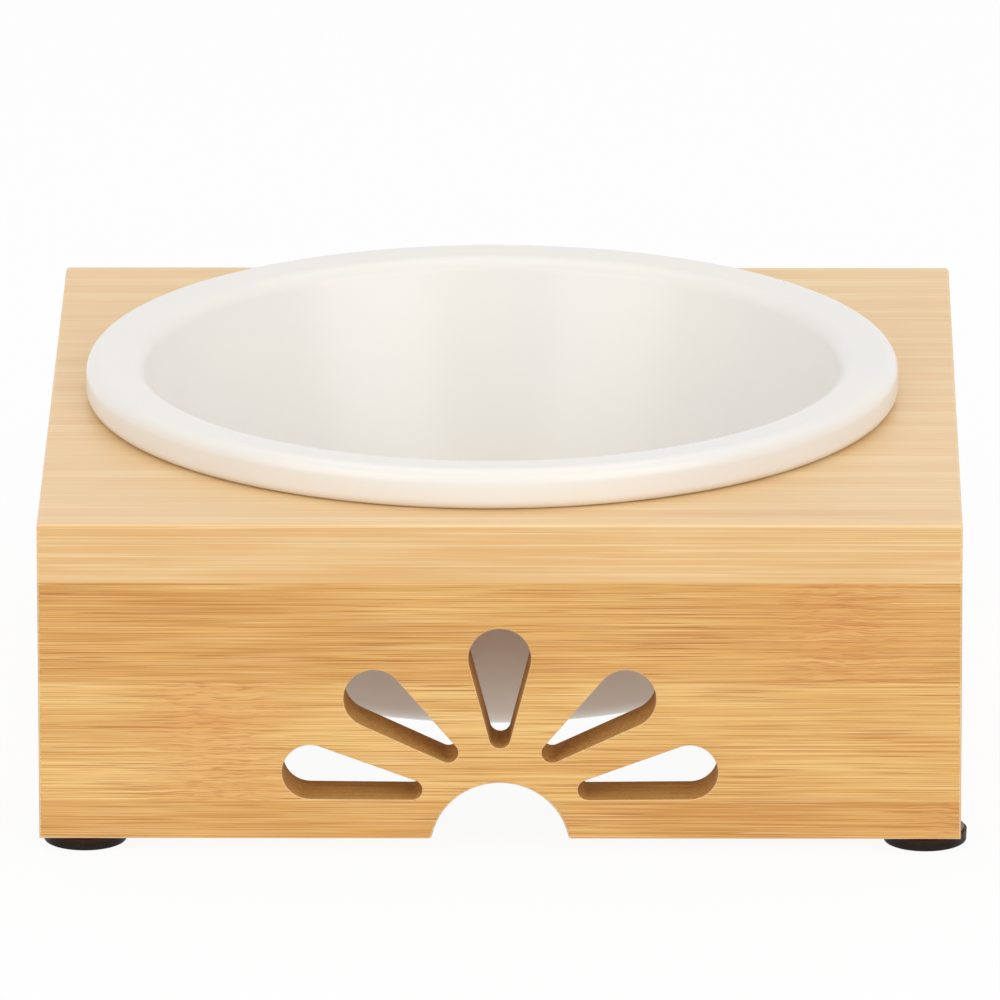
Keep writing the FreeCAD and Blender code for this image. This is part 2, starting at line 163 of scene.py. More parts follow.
def new_finish(name):
    """An empty material, with its node tree and its Principled shader."""
    finish = bpy.data.materials.new(name)
    finish.use_nodes = True
    shader = next(node for node in finish.node_tree.nodes if node.type == "BSDF_PRINCIPLED")
    return finish, finish.node_tree, shader


def dress(tree, shader, colour, roughness, height, strength, depth):
    """Give a shader its colour and roughness, and a relief that follows the height."""
    relief = put(tree, "ShaderNodeBump", {"Strength": strength, "Distance": depth, "Height": height})
    for socket, value in (("Base Color", colour), ("Roughness", roughness), ("Normal", relief.outputs[0])):
        tree.links.new(value, shader.inputs[socket])


print("a painted grey of 128 is", round(tint(128, 128, 128)[0], 3), "in linear light")

# %% [markdown]
# ## Room
#
# A glossy bowl mirrors whatever is round it, so it is shown in a white room. A picture of a studio could be
# wrapped round the scene. A plain white world needs no file, and a Light Path node lets it look white while
# it lights the object at the lower level at which a colour looks as it is written.

# %% Room
WHITE = (1, 1, 1, 1)
ROOM_LEVEL = 0.62


def seen_directly(tree):
    """One for what the camera sees, in the open or in a gloss, and zero for what only lights a surface."""
    path = put(tree, "ShaderNodeLightPath").outputs
    in_gloss = maths(tree, "MAXIMUM", path["Is Glossy Ray"], path["Is Transmission Ray"])
    return maths(tree, "MAXIMUM", path["Is Camera Ray"], in_gloss)


def make_room():
    world = bpy.data.worlds.new("white_room")
    world.use_nodes = True
    tree = world.node_tree
    tree.nodes.clear()
    strength = ease(tree, seen_directly(tree), 0.0, 1.0, ROOM_LEVEL, 1.0)
    room = put(tree, "ShaderNodeBackground", {"Color": WHITE, "Strength": strength})
    put(tree, "ShaderNodeOutputWorld", {"Surface": room.outputs[0]})
    bpy.context.scene.world = world


make_room()
print("room level", ROOM_LEVEL)

# %% [markdown]
# ## Shooting table
#
# The model stands on a white shooting table. A sheet of white paper would do, but it goes grey away from the
# lamps. So the table glows a little, as one that is lit from below does, and still takes the shadow. One
# large face is enough for it, because no view shows its edge.

# %% Shooting table
TABLE_REACH = 6.0


def make_table():
    shape = bmesh.new()
    bmesh.ops.create_grid(shape, x_segments=1, y_segments=1, size=TABLE_REACH)
    mesh = bpy.data.meshes.new("shooting_table")
    shape.to_mesh(mesh)
    shape.free()
    return add_object("shooting_table", mesh)


table = make_table()
print("table reaches", TABLE_REACH, "m each way")

# %% Glowing white
TABLE_WHITE = (0.92, 0.92, 0.92, 1)
GLOW_IN_LIGHT = 0.5
GLOW_IN_VIEW = 0.93


def glowing_white(name):
    """Matt white with a share of glow, which is larger in what the camera sees than in the light it gives."""
    finish, tree, shader = new_finish(name)
    tree.nodes.remove(shader)
    paper = put(tree, "ShaderNodeBsdfDiffuse", {"Color": TABLE_WHITE})
    glow = put(tree, "ShaderNodeEmission", {"Color": WHITE, "Strength": 1.0})
    share = ease(tree, seen_directly(tree), 0.0, 1.0, GLOW_IN_LIGHT, GLOW_IN_VIEW)
    surface = put(tree, "ShaderNodeMixShader", {0: share, 1: paper.outputs[0], 2: glow.outputs[0]})
    output = next(node for node in tree.nodes if node.type == "OUTPUT_MATERIAL")
    tree.links.new(surface.outputs[0], output.inputs["Surface"])
    return finish


table.data.materials.append(glowing_white("shooting_table_white"))
print("table finish:", table.data.materials[0].name)

# %% [markdown]
# ## Softboxes
#
# The room lights everything evenly, and softboxes give it form: one overhead and one to each side of the
# camera. Small bare lamps would do that too, but they leave hard shadows and glaring spots in a glaze. So the
# boxes are more than a metre wide. Each has its light given as a level at the stand, which stays the same
# when the box is moved further away.

# %% Softboxes
SOFTBOXES = {
    "overhead_softbox": {"place": (0.0, 0.25, 1.5), "size": (1.4, 1.0), "level": 0.15},
    "left_softbox": {"place": (-1.2, -1.3, 0.9), "size": (1.4, 1.6), "level": 0.24},
    "right_softbox": {"place": (1.2, -1.3, 0.9), "size": (1.4, 1.6), "level": 0.3},
}


def make_softbox(name, place, size, level):
    """A lamp that gives a white sheet, held square to it at the stand, that level of light."""
    lamp = bpy.data.lights.new(name, "AREA")
    lamp.shape = "RECTANGLE"
    lamp.size, lamp.size_y = size
    lamp.energy = level * math.pi**2 * Vector(place).length_squared
    box = add_object(name, lamp)
    box.location = place
    box.rotation_mode = "QUATERNION"
    box.rotation_quaternion = (-Vector(place)).to_track_quat("-Z", "Y")
    box.visible_camera = False
    print(name, round(lamp.energy, 1), "W")


for name, facts in SOFTBOXES.items():
    make_softbox(name, **facts)

# %% [markdown]
# ## Bamboo fibres
#
# A bamboo board is glued up from split strips, and along each strip run thousands of fine fibres, some darker
# and some paler. A photograph wrapped round the board would show them on one face only. Here the pattern is a
# solid one, noise that is drawn out along the fibres. It is read where a point lies along, across and through
# the board, so that every face and cut shows what a saw would find there.

# %% Bamboo fibres
NOISE_ROUGHNESS = 0.55
NOISE_MIDDLE = 0.5


def grain(tree, place, length, width, drawn_out=1.0, detail=2.0, shift=0.0):
    """Noise drawn out into fibres of about that length and width. Another shift gives other fibres."""
    along, across, through = place
    stretches = {
        0: maths(tree, "MULTIPLY_ADD", along, 1 / (length * drawn_out), shift),
        1: maths(tree, "DIVIDE", across, width),
        2: maths(tree, "DIVIDE", through, width),
    }
    stretched = put(tree, "ShaderNodeCombineXYZ", stretches).outputs[0]
    sockets = {"Vector": stretched, "Scale": 1.0, "Detail": detail, "Roughness": NOISE_ROUGHNESS}
    return put(tree, "ShaderNodeTexNoise", sockets).outputs[0]


print("fibre noise ready")

# %% [markdown]
# ## Strips
#
# Neighbouring strips come from other stems, so their tone steps at each joint. The strips could be modelled
# one by one, and each given a material. It is enough to count them across the board: the whole part of the
# count numbers the strip, a white noise turns that number into the strip's own chances, and the rest of the
# count says how near a joint is.

# %% Strips


def strip_facts(tree, across, width, start):
    """Which strip a point is in: its number, its own chances, and how far away the nearest joint is."""
    count = maths(tree, "DIVIDE", maths(tree, "SUBTRACT", across, start), width)
    number = maths(tree, "FLOOR", count)
    dice = put(tree, "ShaderNodeTexWhiteNoise", {"W": number}, noise_dimensions="1D")
    chances = put(tree, "ShaderNodeSeparateColor", {0: dice.outputs["Color"]}).outputs
    within = maths(tree, "FRACT", count)
    to_joint = maths(tree, "MINIMUM", within, maths(tree, "SUBTRACT", 1.0, within))
    return number, chances, maths(tree, "MULTIPLY", to_joint, width)


print("strip counter ready")

# %% [markdown]
# ## Knuckles
#
# Every hand's breadth or two a knuckle crosses the stem, and the fibres waver there. Each knuckle could be
# painted on by hand. A saw-tooth along the strip sets them at even gaps, as they grow, and starts elsewhere
# in the next strip. The waver moves the place at which the noise is read, so that everything drawn from that
# place bends together.

# %% Knuckles
KNUCKLE_GAP = 0.27
KNUCKLE_STEP = 0.55
KNUCKLE_START = -0.294
KNUCKLE_REACH = 22 * MM


def knuckles(tree, along, number):
    """How much of a knuckle there is at a point: one at its middle, and zero a finger's width away."""
    start = maths(tree, "MULTIPLY_ADD", number, KNUCKLE_STEP, KNUCKLE_START)
    turn = maths(tree, "FRACT", maths(tree, "MULTIPLY_ADD", along, 1 / KNUCKLE_GAP, start))
    share_away = maths(tree, "ABSOLUTE", maths(tree, "SUBTRACT", turn, 0.5))
    away = maths(tree, "MULTIPLY", share_away, KNUCKLE_GAP)
    return ease(tree, away, 0.0, KNUCKLE_REACH, 1.0, 0.0)


print("knuckles every", round(KNUCKLE_GAP / MM), "mm along a strip")

# %% Fibres round a knuckle
KNUCKLE_WAVER = 1.4 * MM
KNUCKLE_RIPPLE = {"length": 9 * MM, "width": 4 * MM, "shift": 3.0}
STEM_LENGTH = 7.0


def among_fibres(tree, spot, axes, knuckle, chance):
    """Where a point lies among the fibres: on its own length of stem, and bent where there is a knuckle."""
    along, across, through = axes
    on_stem = maths(tree, "MULTIPLY_ADD", chance, STEM_LENGTH, spot[along])
    ripple = grain(tree, (on_stem, spot[across], spot[through]), **KNUCKLE_RIPPLE)
    waver = maths(tree, "MULTIPLY", maths(tree, "SUBTRACT", ripple, NOISE_MIDDLE), KNUCKLE_WAVER)
    bent = maths(tree, "MULTIPLY_ADD", knuckle, waver, spot[across])
    return on_stem, bent, spot[through]


print("fibres waver by", round(KNUCKLE_WAVER / MM, 1), "mm at most")

# %% [markdown]
# ## Tone of the fibres
#
# A strip is the colour of honey, with soft clouds, long streaks and fine fibres in it. One noise of much
# detail holds all three, but then none of them can be set on its own. So three noises are added up to a
# level, and the level picks a place between the dark, middle and light tone of the board. Every other strip
# lies with its other side up, which is darker.

# %% Tone of the fibres
CLOUD = {"length": 55 * MM, "width": 8 * MM}
STREAK = {"length": 60 * MM, "width": 1 * MM, "shift": 11.0}
FIBRE = {"length": 15 * MM, "width": 0.24 * MM, "detail": 3.0, "shift": 23.0}
STRIP_WEIGHT, STREAK_WEIGHT, FIBRE_WEIGHT = 0.12, 0.45, 1.0
USUAL_LEVEL, OTHER_SIDE_LEVEL = 0.585, -0.1
DARK_LEVEL, MIDDLE_LEVEL, LIGHT_LEVEL = 0.2, 0.5, 0.8


def fibre_tone(tree, place, number, chance, contrast, cut):
    """The colour of a board before any line is drawn on it, and its fine fibres on their own."""
    cloud, streak = grain(tree, place, **CLOUD), grain(tree, place, **STREAK)
    fibre = grain(tree, place, drawn_out=cut["drawn_out"], **FIBRE)
    parts = ((chance, STRIP_WEIGHT), (cloud, cut["clouds"]), (streak, STREAK_WEIGHT), (fibre, FIBRE_WEIGHT))
    other_side_up = maths(tree, "FLOORED_MODULO", number, 2.0)
    level = maths(tree, "MULTIPLY_ADD", other_side_up, OTHER_SIDE_LEVEL, USUAL_LEVEL)
    for part, weight in parts:
        amount = maths(tree, "MULTIPLY", contrast, weight)
        swing = maths(tree, "SUBTRACT", part, NOISE_MIDDLE)
        level = maths(tree, "MULTIPLY_ADD", swing, amount, level)
    dark, middle, light = cut["tones"]
    colour = blend(tree, ease(tree, level, DARK_LEVEL, MIDDLE_LEVEL), dark, middle)
    return blend(tree, ease(tree, level, MIDDLE_LEVEL, LIGHT_LEVEL), colour, light), fibre


print("fibre tones ready")

# %% [markdown]
# ## Lines of the fibres
#
# Here and there a single fibre stands out as a dark dash or a pale glint, knuckles are browner and full of
# short flecks, and glue darkens the joints. These could be strokes on a painted map. They are cut out of
# noises instead: only where a noise is high is there a line, so it ends softly by itself.

# %% Lines of the fibres
FIBRE_DARK, FIBRE_PALE, KNUCKLE_TONE = tint(178, 112, 46), tint(255, 232, 180), tint(219, 152, 84)
DASH = {"length": 10 * MM, "detail": 1.0, "shift": 37.0}
GLINT = {"length": 14 * MM, "detail": 1.0, "shift": 51.0}
TANGLE = {"length": 5 * MM, "width": 0.35 * MM, "detail": 1.0, "shift": 67.0}
LINE_EDGE, TANGLE_EDGE, JOINT_EDGE = (0.6, 0.66), (0.54, 0.64), (0.0, 0.2 * MM)
KNUCKLE_SHARE, FLECK_SHARE, JOINT_SHARE = 0.3, 0.4, 0.3


def fibre_lines(tree, colour, place, knuckle, to_joint, contrast, cut):
    """Draw the lines over a colour. The dark ones come back as well, because they are pores in the relief."""
    size = {"width": cut["line_width"], "drawn_out": cut["drawn_out"]}
    dashes = ease(tree, grain(tree, place, **size, **DASH), *LINE_EDGE)
    glints = ease(tree, grain(tree, place, **size, **GLINT), *LINE_EDGE)
    tangle = ease(tree, grain(tree, place, **TANGLE), *TANGLE_EDGE)
    for mask, weight, shade in (
        (dashes, cut["dark_lines"], FIBRE_DARK),
        (glints, cut["pale_lines"], FIBRE_PALE),
        (knuckle, KNUCKLE_SHARE, KNUCKLE_TONE),
        (maths(tree, "MULTIPLY", tangle, knuckle), FLECK_SHARE, FIBRE_DARK),
        (ease(tree, to_joint, *JOINT_EDGE, 1.0, 0.0), JOINT_SHARE, FIBRE_DARK),
    ):
        share = maths(tree, "MULTIPLY", mask, maths(tree, "MULTIPLY", contrast, weight))
        colour = blend(tree, share, colour, shade)
    return colour, dashes


print("fibre lines ready")

# %% [markdown]
# ## Sawn ends
#
# Where a saw cuts across the fibres, their bundles show as brown dots, which crowd towards the outside of the
# stem, its rind. A second material could be given to the end faces alone. The finish looks at which way the
# surface faces instead, so that the ends change over in their rounded edges. A Voronoi texture makes the
# dots, because its distance is round about each point.

# %% Sawn ends
END_DARK = tint(112, 70, 34)
END_TURN = (0.6, 0.9)
BUNDLE_GAP, BUNDLE_SPREAD, BUNDLE_EDGE = 0.5 * MM, 0.9, (0.2, 0.45)
CROWD_INSIDE, CROWD_AT_RIND = 0.12, 0.6


def fibre_bundles(tree, spot, axes, rind):
    """How much of a fibre bundle there is at a point of a sawn end."""
    _, across, through = axes
    rind_axis, strip_depth = rind
    flat = put(tree, "ShaderNodeCombineXYZ", {0: spot[across], 1: spot[through]}).outputs[0]
    sockets = {"Vector": flat, "Scale": 1 / BUNDLE_GAP, "Randomness": BUNDLE_SPREAD}
    away = put(tree, "ShaderNodeTexVoronoi", sockets).outputs["Distance"]
    from_inside = maths(tree, "FRACT", maths(tree, "DIVIDE", spot[rind_axis], strip_depth))
    crowding = ease(tree, from_inside, 0.0, 1.0, CROWD_INSIDE, CROWD_AT_RIND)
    return maths(tree, "MULTIPLY", ease(tree, away, *BUNDLE_EDGE, 1.0, 0.0), crowding)


def sawn_ends(tree, colour, spot, facing, axes, rind, chance, cut):
    """Show the bundles wherever a surface faces along the fibres."""
    dark, middle, _ = cut["tones"]
    ground = blend(tree, chance, dark, middle)
    dotted = blend(tree, fibre_bundles(tree, spot, axes, rind), ground, END_DARK)
    on_end = ease(tree, maths(tree, "ABSOLUTE", facing[axes[0]]), *END_TURN)
    return blend(tree, on_end, colour, dotted)


print("sawn ends have a bundle every", BUNDLE_GAP / MM, "mm")

# %% [markdown]
# ## Lacquer and eased edges
#
# Clear lacquer lies thickest on a broad flat face and veils its colour a little. On an eased edge it is
# sanded through, and the edge is paler; part of that paler colour is a painted highlight, where the
# rounding catches the light. Edge wear is often painted in by hand, or found by ray tracing nearby
# corners. The boards have true rounded edges, so the way that the surface faces is enough to find them.

# %% Lacquer and eased edges
# The pale colour of the eased edges is partly wear and partly a painted highlight where the rounding catches
# the light
LACQUER_VEIL, EDGE_WEAR_AND_HIGHLIGHT_TONE = tint(210, 198, 192), tint(250, 230, 192)
VEIL_TURN, PAST_SIDE, SHORT_OF_FACE = (0.8, 1.0), (0.4, 0.6), (0.75, 0.92)


def lacquered(tree, colour, flatness, cut):
    veil = ease(tree, flatness, *VEIL_TURN, 0.0, cut["face_veil"])
    return blend(tree, veil, colour, LACQUER_VEIL)


def edge_wear_and_highlight(tree, colour, flatness, cut):
    """Lighten where a surface has turned away from the side and has not yet come to the face. The paler
    colour is partly sanded-through wear and partly a painted highlight.
    """
    past_side = ease(tree, flatness, *PAST_SIDE)
    short_of_face = ease(tree, flatness, *SHORT_OF_FACE, 1.0, 0.0)
    eased = maths(tree, "MULTIPLY", past_side, short_of_face)
    return blend(tree, maths(tree, "MULTIPLY", eased, cut["edge_wear_and_highlight"]), colour, EDGE_WEAR_AND_HIGHLIGHT_TONE)


print("lacquer and edges ready")

# %% [markdown]
# ## Routed walls
#
# A router cuts the petals and the notch out of the panels. It leaves their walls rougher than a sanded face
# and a little darker. The walls could be picked out face by face and given their own material. Here they are
# what faces sideways inside the panel's rim, so the finish follows them if the fan is drawn anew.

# %% Routed walls
ROUTED_SHADE, ROUTED_DEEP = tint(242, 238, 222), tint(226, 220, 200)
WALL_TURN = (0.25, 0.75)
PANEL_RIM, BASE_RIM = 2 * MM, 0.2 * MM
TEAR_SIZE, TEAR_DETAIL = 0.6 * MM, 3.0
PATCH_EDGE = (0.3, 0.7)
panel_low, panel_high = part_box("front_panel")


def routed_walls(tree, spot, facing):
    """One on the walls of the petals and the notch, and zero on the panel's faces and outer edges."""
    turned = ease(tree, maths(tree, "ABSOLUTE", facing["Y"]), *WALL_TURN, 1.0, 0.0)
    between_ends = maths(tree, "LESS_THAN", maths(tree, "ABSOLUTE", spot["X"]), panel_high.x - PANEL_RIM)
    below_top = maths(tree, "LESS_THAN", spot["Z"], panel_high.z - PANEL_RIM)
    above_base = maths(tree, "GREATER_THAN", spot["Z"], panel_low.z + BASE_RIM)
    inside = maths(tree, "MULTIPLY", maths(tree, "MULTIPLY", between_ends, below_top), above_base)
    return maths(tree, "MULTIPLY", inside, turned)


def torn_fibres(tree, colour, routed, place):
    """Darken the walls in fine patches, where the router tore the fibres or cut them clean."""
    noise = patches(tree, place, 1 / TEAR_SIZE, TEAR_DETAIL)
    sawn = blend(tree, ease(tree, noise, *PATCH_EDGE), ROUTED_DEEP, ROUTED_SHADE)
    return blend(tree, routed, colour, blend(tree, 1.0, colour, sawn, mode="MULTIPLY"))


print("routed walls lie within", [round(side / MM, 1) for side in panel_high - panel_low], "mm")

# %% [markdown]
# ## Bamboo finish
#
# All of this comes together in one finish. A board of the stand has flat faces, long edges and sawn ends, and
# each could have a material. One finish for all of them needs no seams. It only has to be told which axes run
# along the fibres, across the strips and through the board, and how the board was cut.

# %% Bamboo finish
CONTRAST_TURN = (0.4, 0.8)
LACQUER_ROUGHNESS, FIBRE_ROUGHNESS, ROUTED_ROUGHNESS = 0.28, 0.16, 0.4
PORE_DEPTH, FIBRE_STRENGTH, FIBRE_DEPTH = -0.6, 0.35, 0.05 * MM


def bamboo(name, axes, cut, rind, routed_panel=False):
    """Lacquered bamboo. The rind is the axis on which a strip grew in the stem, and its depth on it."""
    along, across, through = axes
    finish, tree, shader = new_finish(name)
    coordinates = put(tree, "ShaderNodeTexCoord").outputs
    spot = put(tree, "ShaderNodeSeparateXYZ", {0: coordinates["Object"]}).outputs
    facing = put(tree, "ShaderNodeSeparateXYZ", {0: coordinates["Normal"]}).outputs
    flatness = maths(tree, "ABSOLUTE", facing[through])
    contrast = ease(tree, flatness, *CONTRAST_TURN, 1.0, cut["face_contrast"])

    number, chances, to_joint = strip_facts(tree, spot[across], cut["strip_width"], cut["strip_start"])
    knuckle = maths(tree, "MULTIPLY", knuckles(tree, spot[along], number), cut["knuckles"])
    place = among_fibres(tree, spot, axes, knuckle, chances[1])
    colour, fibre = fibre_tone(tree, place, number, chances[0], contrast, cut)
    colour, dashes = fibre_lines(tree, colour, place, knuckle, to_joint, contrast, cut)
    colour = lacquered(tree, colour, flatness, cut)
    colour = sawn_ends(tree, colour, spot, facing, axes, rind, chances[0], cut)
    # Paler eased edges: partly wear, partly a painted highlight
    colour = edge_wear_and_highlight(tree, colour, flatness, cut)
    roughness = maths(tree, "MULTIPLY_ADD", fibre, FIBRE_ROUGHNESS, LACQUER_ROUGHNESS)
    if routed_panel:
        routed = routed_walls(tree, spot, facing)
        colour = torn_fibres(tree, colour, routed, coordinates["Object"])
        roughness = maths(tree, "MULTIPLY_ADD", routed, ROUTED_ROUGHNESS, roughness)
    height = maths(tree, "MULTIPLY_ADD", dashes, PORE_DEPTH, fibre)
    dress(tree, shader, colour, roughness, height, FIBRE_STRENGTH, FIBRE_DEPTH)
    return finish


print("bamboo finish ready")

# %% [markdown]
# ## Panels
#
# The panels are glued from flat strips about 24 mm wide, two plies deep, so their faces show whole knuckles
# and plenty of dark dashes. The front and back panels run along X and have routed walls. The side panels run
# along Y and are plain. One material would do if it could turn with the panel. As it reads the axes, there
# is one for each direction, from the same facts about the cut.

# %% Panels
PANEL_PLY = 6 * MM
PANEL_CUT = {
    "strip_width": 24.4 * MM,
    "strip_start": 10.6 * MM,
    "tones": (tint(195, 134, 60), tint(217, 164, 89), tint(232, 191, 118)),
    "clouds": 0.4,
    "face_contrast": 1.22,
    "face_veil": 0.0,
    "drawn_out": 3.0,
    "line_width": 0.18 * MM,
    "dark_lines": 0.8,
    "pale_lines": 0.28,
    "knuckles": 1.0,
    "edge_wear_and_highlight": 0.45,
}
panel_bamboo = bamboo("panel_bamboo", "XZY", PANEL_CUT, ("Y", PANEL_PLY), routed_panel=True)
side_bamboo = bamboo("side_bamboo", "YZX", PANEL_CUT, ("X", PANEL_PLY))
for finish in (panel_bamboo, side_bamboo):
    print(finish.name, "has", len(finish.node_tree.nodes), "nodes")

# %% [markdown]
# ## Top board
#
# The top board is glued from narrow strips that stand on edge. Their edges are paler than their flat sides
# and show long pale lines and no whole knuckles, and the lacquer dulls the broad top. It could be a bamboo of
# its own. It is the same finish with other facts about its cut, because it is the same plant.

# %% Top board
board_low, board_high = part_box("top_board")
BOARD_CUT = {
    "strip_width": 5.2 * MM,
    "strip_start": board_low.y,
    "tones": (tint(227, 174, 103), tint(239, 196, 132), tint(247, 217, 163)),
    "clouds": 0.75,
    "face_contrast": 0.62,
    "face_veil": 0.13,
    "drawn_out": 5.0,
    "line_width": 0.32 * MM,
    "dark_lines": 0.1,
    "pale_lines": 0.8,
    "knuckles": 0.0,
    "edge_wear_and_highlight": 0.2,
}
board_bamboo = bamboo("board_bamboo", "XYZ", BOARD_CUT, ("Y", BOARD_CUT["strip_width"]))
print("top board has", round((board_high.y - board_low.y) / BOARD_CUT["strip_width"]), "strips")

# %% [markdown]
# ## Dowels, feet and their adhesive
#
# The dowels are plain turned wood, hidden in the joints. The feet are moulded rubber, nearly black at the
# sole and browner above: partly where the adhesive stains them, and partly a painted reflection of the warm
# bamboo just above. Each is held by a disc of dark, shiny adhesive film that shows as a thin reddish line.
# All are small and dark, and a flat paint could pass in a far view. A fine noise in colour, roughness and
# relief also holds up in a near one.

# %% Speckled finishes
ROUGH_EDGE = (0.25, 0.75)
SPECKLE_DETAIL, SPECKLE_STRENGTH = 3.0, 0.4


def speckled(name, tones, grain_size, roughness, spread, dent, gloss=0.5, stain_and_reflection=None):
    """A finish whose colour, roughness and surface vary over grains of one size. A stain, on the feet
    also a painted reflection, has the height at which it begins, the height at which it is full, and its
    colour."""
    finish, tree, shader = new_finish(name)
    place = put(tree, "ShaderNodeTexCoord").outputs["Object"]
    noise = patches(tree, place, 1 / grain_size, SPECKLE_DETAIL)
    colour = blend(tree, ease(tree, noise, *PATCH_EDGE), *tones)
    if stain_and_reflection:
        # A tint by height; on the feet it is partly the adhesive's stain and partly a painted reflection of
        # the bamboo
        begins, full, stain_and_reflection_tone = stain_and_reflection
        height = put(tree, "ShaderNodeSeparateXYZ", {0: place}).outputs["Z"]
        colour = blend(tree, ease(tree, height, begins, full), colour, stain_and_reflection_tone)
    rough = ease(tree, noise, *ROUGH_EDGE, roughness - spread, roughness + spread)
    shader.inputs["Specular IOR Level"].default_value = gloss
    dress(tree, shader, colour, rough, noise, SPECKLE_STRENGTH, dent)
    return finish


print("speckled finish ready")

# %% Rubber, adhesive and dowel wood
foot_low, foot_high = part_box("front_left_foot")
half_way_up = (foot_low.z + foot_high.z) / 2
foot_rubber = speckled(
    "foot_rubber",
    tones=(tint(24, 18, 15), tint(36, 28, 24)),
    grain_size=0.5 * MM,
    roughness=0.48,
    spread=0.08,
    dent=0.02 * MM,
    gloss=0.15,
    # Browner towards the top: partly the adhesive's stain, partly a painted reflection of the warm bamboo
    # above
    stain_and_reflection=(half_way_up, foot_high.z, tint(56, 28, 8)),
)
foot_adhesive = speckled(
    "foot_adhesive",
    tones=(tint(66, 30, 20), tint(92, 46, 30)),
    grain_size=2 * MM,
    roughness=0.26,
    spread=0.06,
    dent=0.01 * MM,
)
dowel_wood = speckled(
    "dowel_wood",
    tones=(tint(206, 168, 116), tint(226, 194, 146)),
    grain_size=0.6 * MM,
    roughness=0.6,
    spread=0.1,
    dent=0.03 * MM,
)
print("small finishes:", foot_rubber.name, foot_adhesive.name, dowel_wood.name)

# %% [markdown]
# ## A finish for each piece
#
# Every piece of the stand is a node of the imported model, already in its place. New meshes could be laid over
# them. Their shapes are right, so only the material in their first slot changes, and the end of each name
# says what the piece is made of. A side panel's ending comes before that of the other panels.

# %% A finish for each piece
FINISH_BY_ENDING = {
    "board": board_bamboo,
    "side_panel": side_bamboo,
    "panel": panel_bamboo,
    "foot": foot_rubber,
    "adhesive": foot_adhesive,
    "dowels": dowel_wood,
}

for name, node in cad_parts.items():
    if name != "bowl":
        ending = next(ending for ending in FINISH_BY_ENDING if name.endswith(ending))
        node.material_slots[0].material = FINISH_BY_ENDING[ending]
        print(name, "is finished in", FINISH_BY_ENDING[ending].name)

# %% [markdown]
# ## Glaze and bare clay
#
# The bowl is stoneware under a warm white glaze. Glaze is glass, so plain smooth white would come close. But
# it melts over the clay and sets with a very slight ripple, and its white drifts a little from place to
# place, which keeps its highlights from looking like plastic. The foot ring is wiped clean before firing, and
# there the bare clay shows.

# %% Glaze and bare clay
GLAZE_TONES = (tint(237, 234, 230), tint(240, 236, 229))
GLAZE_ROUGHNESS = (0.2, 0.27)
DRIFT_SCALE, DRIFT_DETAIL = 22.0, 2.0
RIPPLE_SCALE, RIPPLE_DETAIL, RIPPLE_STRENGTH, RIPPLE_DEPTH = 70.0, 1.0, 0.15, 0.06 * MM


def glaze(name):
    finish, tree, shader = new_finish(name)
    place = put(tree, "ShaderNodeTexCoord").outputs["Object"]
    drift = patches(tree, place, DRIFT_SCALE, DRIFT_DETAIL)
    ripple = patches(tree, place, RIPPLE_SCALE, RIPPLE_DETAIL)
    colour = blend(tree, ease(tree, drift, *PATCH_EDGE), *GLAZE_TONES)
    rough = ease(tree, drift, *PATCH_EDGE, *GLAZE_ROUGHNESS)
    dress(tree, shader, colour, rough, ripple, RIPPLE_STRENGTH, RIPPLE_DEPTH)
    return finish


white_glaze = glaze("white_glaze")
bare_clay = speckled(
    "bare_clay",
    tones=(tint(214, 200, 178), tint(228, 216, 196)),
    grain_size=0.7 * MM,
    roughness=0.75,
    spread=0.08,
    dent=0.05 * MM,
)
print("bowl finishes:", white_glaze.name, bare_clay.name)

# %% [markdown]
# ## Section of the bowl
#
# A potter turns the bowl, so it is modelled the same way, from half of its section. Every point of the
# rounded section could be written down. It is drawn as a few corners instead, and a vertex bevel rounds each
# of them, because then a size or a rounding can be changed on its own. The outer sizes come from the packed
# solid.

# %% Sizes of the bowl
LIP_WIDTH, LIP_HEIGHT, LIP_FALL = 11 * MM, 8.3 * MM, 0.8 * MM
LIP_LOWER_ROUND, LIP_UPPER_ROUND, LIP_INNER_ROUND = 2 * MM, 3 * MM, 4 * MM
NECK_SETBACK, NECK_ROUND = 9.3 * MM, 1 * MM
WALL_LEAN, WALL_BOW, WALL_ROUND = 13 * MM, 0.9 * MM, 60 * MM
INSIDE_LEAN = 15.5 * MM
FLOOR_HEIGHT, FLOOR_ROUND = 7 * MM, 12 * MM
BASE_ROUND = 5 * MM
RING_WIDTH, RING_HEIGHT, RING_ROUND = 4 * MM, 1.5 * MM, 0.6 * MM

bowl_low, bowl_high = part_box("bowl")
bowl_axis = (bowl_low + bowl_high) / 2
lip_radius = (bowl_high.x - bowl_low.x) / 2
lip_inside = lip_radius - LIP_WIDTH
seat_height = board_high.z - bowl_low.z
base_radius = lip_radius - NECK_SETBACK - WALL_LEAN
ring_inside = base_radius - BASE_ROUND - RING_WIDTH
print("lip radius", round(lip_radius / MM, 1), "mm, seat", round(seat_height / MM, 1), "mm above the ring")

# %% Corners of the section
# Across from the axis, up from the foot ring, and how far the corner is rounded
BOWL_CORNERS = (
    (0.0, RING_HEIGHT, 0.0),
    (ring_inside - RING_HEIGHT, RING_HEIGHT, RING_ROUND),
    (ring_inside, 0.0, RING_ROUND),
    (base_radius, 0.0, BASE_ROUND),
    (base_radius + WALL_LEAN / 2 + WALL_BOW, seat_height / 2, WALL_ROUND),
    (lip_radius - NECK_SETBACK, seat_height, NECK_ROUND),
    (lip_radius, seat_height, LIP_LOWER_ROUND),
    (lip_radius, seat_height + LIP_HEIGHT, LIP_UPPER_ROUND),
    (lip_inside, seat_height + LIP_HEIGHT - LIP_FALL, LIP_INNER_ROUND),
    (lip_inside - INSIDE_LEAN, FLOOR_HEIGHT, FLOOR_ROUND),
    (0.0, FLOOR_HEIGHT, 0.0),
)
ROUND_STEPS = 14


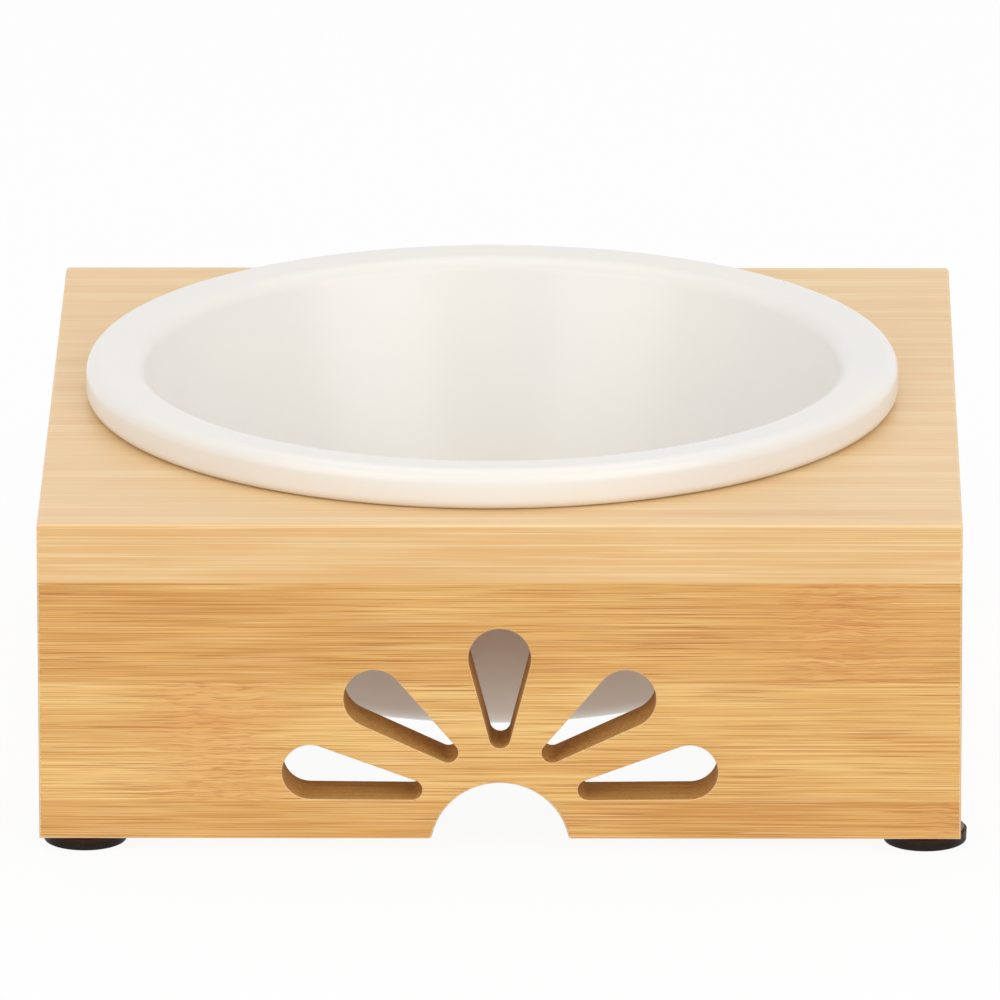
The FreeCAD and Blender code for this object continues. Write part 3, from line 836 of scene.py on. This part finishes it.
def rounding_offset(before, corner, after, radius):
    """How far from a corner its arc begins, for an arc of that radius."""
    turn = (corner - before).angle(after - corner)
    return radius * math.tan(turn / 2)


print("section has", len(BOWL_CORNERS), "corners")

# %% Draw the section


def draw_section(shape):
    """The bowl's half section as a chain of edges, with its corners rounded."""
    points = [Vector((across, 0, up)) for across, up, _ in BOWL_CORNERS]
    verts = [shape.verts.new(point) for point in points]
    for first, second in zip(verts, verts[1:]):
        shape.edges.new((first, second))
    for index in range(1, len(points) - 1):
        offset = rounding_offset(*points[index - 1 : index + 2], BOWL_CORNERS[index][2])
        bmesh.ops.bevel(
            shape,
            geom=[verts[index]],
            offset=offset,
            affect="VERTICES",
            segments=ROUND_STEPS,
            profile=0.5,
            material=-1,
        )


section = bmesh.new()
draw_section(section)
print("rounded section has", len(section.verts), "points")

# %% [markdown]
# ## Turn the bowl
#
# Spinning the section about the bowl's axis makes the wall, the lip and the floor in one go. A Screw modifier
# would do the same, but the operator leaves a plain mesh, in which the seam and the poles can be merged and
# the foot ring can be given its own finish. The steps are many, so that no facet shows in the gloss.

# %% Turn the bowl
SPIN_STEPS = 192
MERGE_DISTANCE = 0.01 * MM


def spin_bowl(shape):
    bmesh.ops.spin(
        shape,
        geom=shape.verts[:] + shape.edges[:],
        cent=(0, 0, 0),
        axis=(0, 0, 1),
        angle=math.tau,
        steps=SPIN_STEPS,
        use_merge=True,
    )
    bmesh.ops.remove_doubles(shape, verts=shape.verts, dist=MERGE_DISTANCE)
    bmesh.ops.recalc_face_normals(shape, faces=shape.faces)


spin_bowl(section)
print("bowl has", len(section.faces), "faces")

# %% Foot ring
GLAZED, BARE = 0, 1


def wipe_foot_ring(shape):
    """Leave the bare clay on the ring's sole, and smooth glaze everywhere else."""
    for face in shape.faces:
        face.smooth = True
        middle = face.calc_center_median()
        on_ring = ring_inside < middle.xy.length < ring_inside + RING_WIDTH
        face.material_index = BARE if on_ring and middle.z < RING_HEIGHT / 2 else GLAZED


wipe_foot_ring(section)
print("bare faces:", sum(face.material_index == BARE for face in section.faces))

# %% [markdown]
# ## Hang the bowl
#
# The bowl hangs in the board's opening and lifts straight out. The object could be moved to its place, but a
# pattern on object coordinates would then move with it, so the mesh is moved and the object stays at the
# origin. The piece rides on the bowl's body and stands for its solid.

# %% Hang the bowl
bmesh.ops.translate(section, verts=section.verts, vec=(bowl_axis.x, bowl_axis.y, bowl_low.z))
bowl_mesh = bpy.data.meshes.new("glazed_bowl")
section.to_mesh(bowl_mesh)
section.free()
for finish in (white_glaze, bare_clay):
    bowl_mesh.materials.append(finish)
glazed_bowl = add_object("glazed_bowl", bowl_mesh)
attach(glazed_bowl, "bowl")
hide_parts("bowl")
print("bowl hangs", round(bowl_low.z / MM, 1), "mm above the table")
